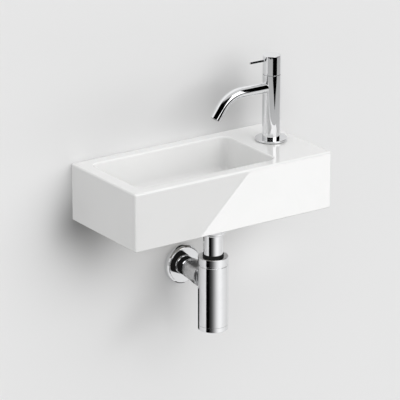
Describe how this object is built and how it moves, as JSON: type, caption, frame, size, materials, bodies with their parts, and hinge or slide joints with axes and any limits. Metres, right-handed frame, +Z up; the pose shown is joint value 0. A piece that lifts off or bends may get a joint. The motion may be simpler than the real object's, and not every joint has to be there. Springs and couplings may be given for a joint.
{
  "type": "wall hung basin",
  "caption": "Small rectangular wall hung ceramic basin with a pillar tap beside the bowl, a tilting waste and a chrome bottle trap.",
  "frame": {"origin": "on the wall plane, midway between the two fixing bolts and at their height, 82 mm below the rim", "axes": "+Z up, +Y into the wall, +X to the right along the wall as one faces it"},
  "size_m": [0.38, 0.238, 0.446],
  "materials": {
    "ceramic": "gloss glaze",
    "chrome": "polished chrome plate",
    "satin_chrome": "satin, turned",
    "black_rubber": "matt",
    "brass": "machined",
    "steel": "zinc plated",
    "white_plastic": "matt",
    "grey_plastic": "matt"
  },
  "bodies": {
    "basin_set": {"basin": "ceramic", "drain_strainer": "chrome", "drain_bolt": "chrome", "cap_pin": "chrome", "tail_pipe": "chrome", "tail_nut": "chrome", "trap_collar_nut": "chrome", "trap_body": "chrome", "wall_pipe": "chrome", "wall_flange": "chrome", "tap_base_ring": "chrome", "tap_body": "chrome", "tap_spout": "chrome", "outlet_nut": "satin_chrome", "drain_gasket": "black_rubber", "drain_ring": "black_rubber", "drain_seal": "black_rubber", "tail_washer": "black_rubber", "trap_inlet_seal": "black_rubber", "outlet_seal": "black_rubber", "tap_base_gasket": "black_rubber", "tap_deck_washer": "black_rubber", "drain_tailpiece": "brass", "drain_bolt_nut": "brass", "tap_shank": "brass", "tap_back_nut": "brass", "tap_gland_nut": "brass", "tap_cartridge": "brass", "tap_plate_washer": "steel", "wall_studs": "steel", "wall_washers": "steel", "wall_nuts": "steel", "trap_dip_tube": "white_plastic", "wall_sleeves": "white_plastic", "tap_aerator": "grey_plastic"},
    "handle": {"tap_handle": "chrome", "tap_lever": "chrome", "tap_spindle": "steel", "handle_screw": "steel"},
    "cap": {"drain_cap": "chrome"},
    "cup": {"trap_cup": "chrome", "trap_cup_seal": "black_rubber"}
  },
  "joints": [
    {"name": "handle_turn", "type": "hinge", "parent": "basin_set", "child": "handle", "pos_m": [0.145, -0.082, 0.2], "axis": [0, 0, 1], "range_deg": [0, 90]},
    {"name": "cap_tilt", "type": "hinge", "parent": "basin_set", "child": "cap", "pos_m": [0.021, -0.095, 0.018], "axis": [0, -1, 0], "range_deg": [0, 28]},
    {"name": "cup_off", "type": "slide", "parent": "basin_set", "child": "cup", "axis": [0, 0, -1], "range_m": [0, 0.04]}
  ]
}
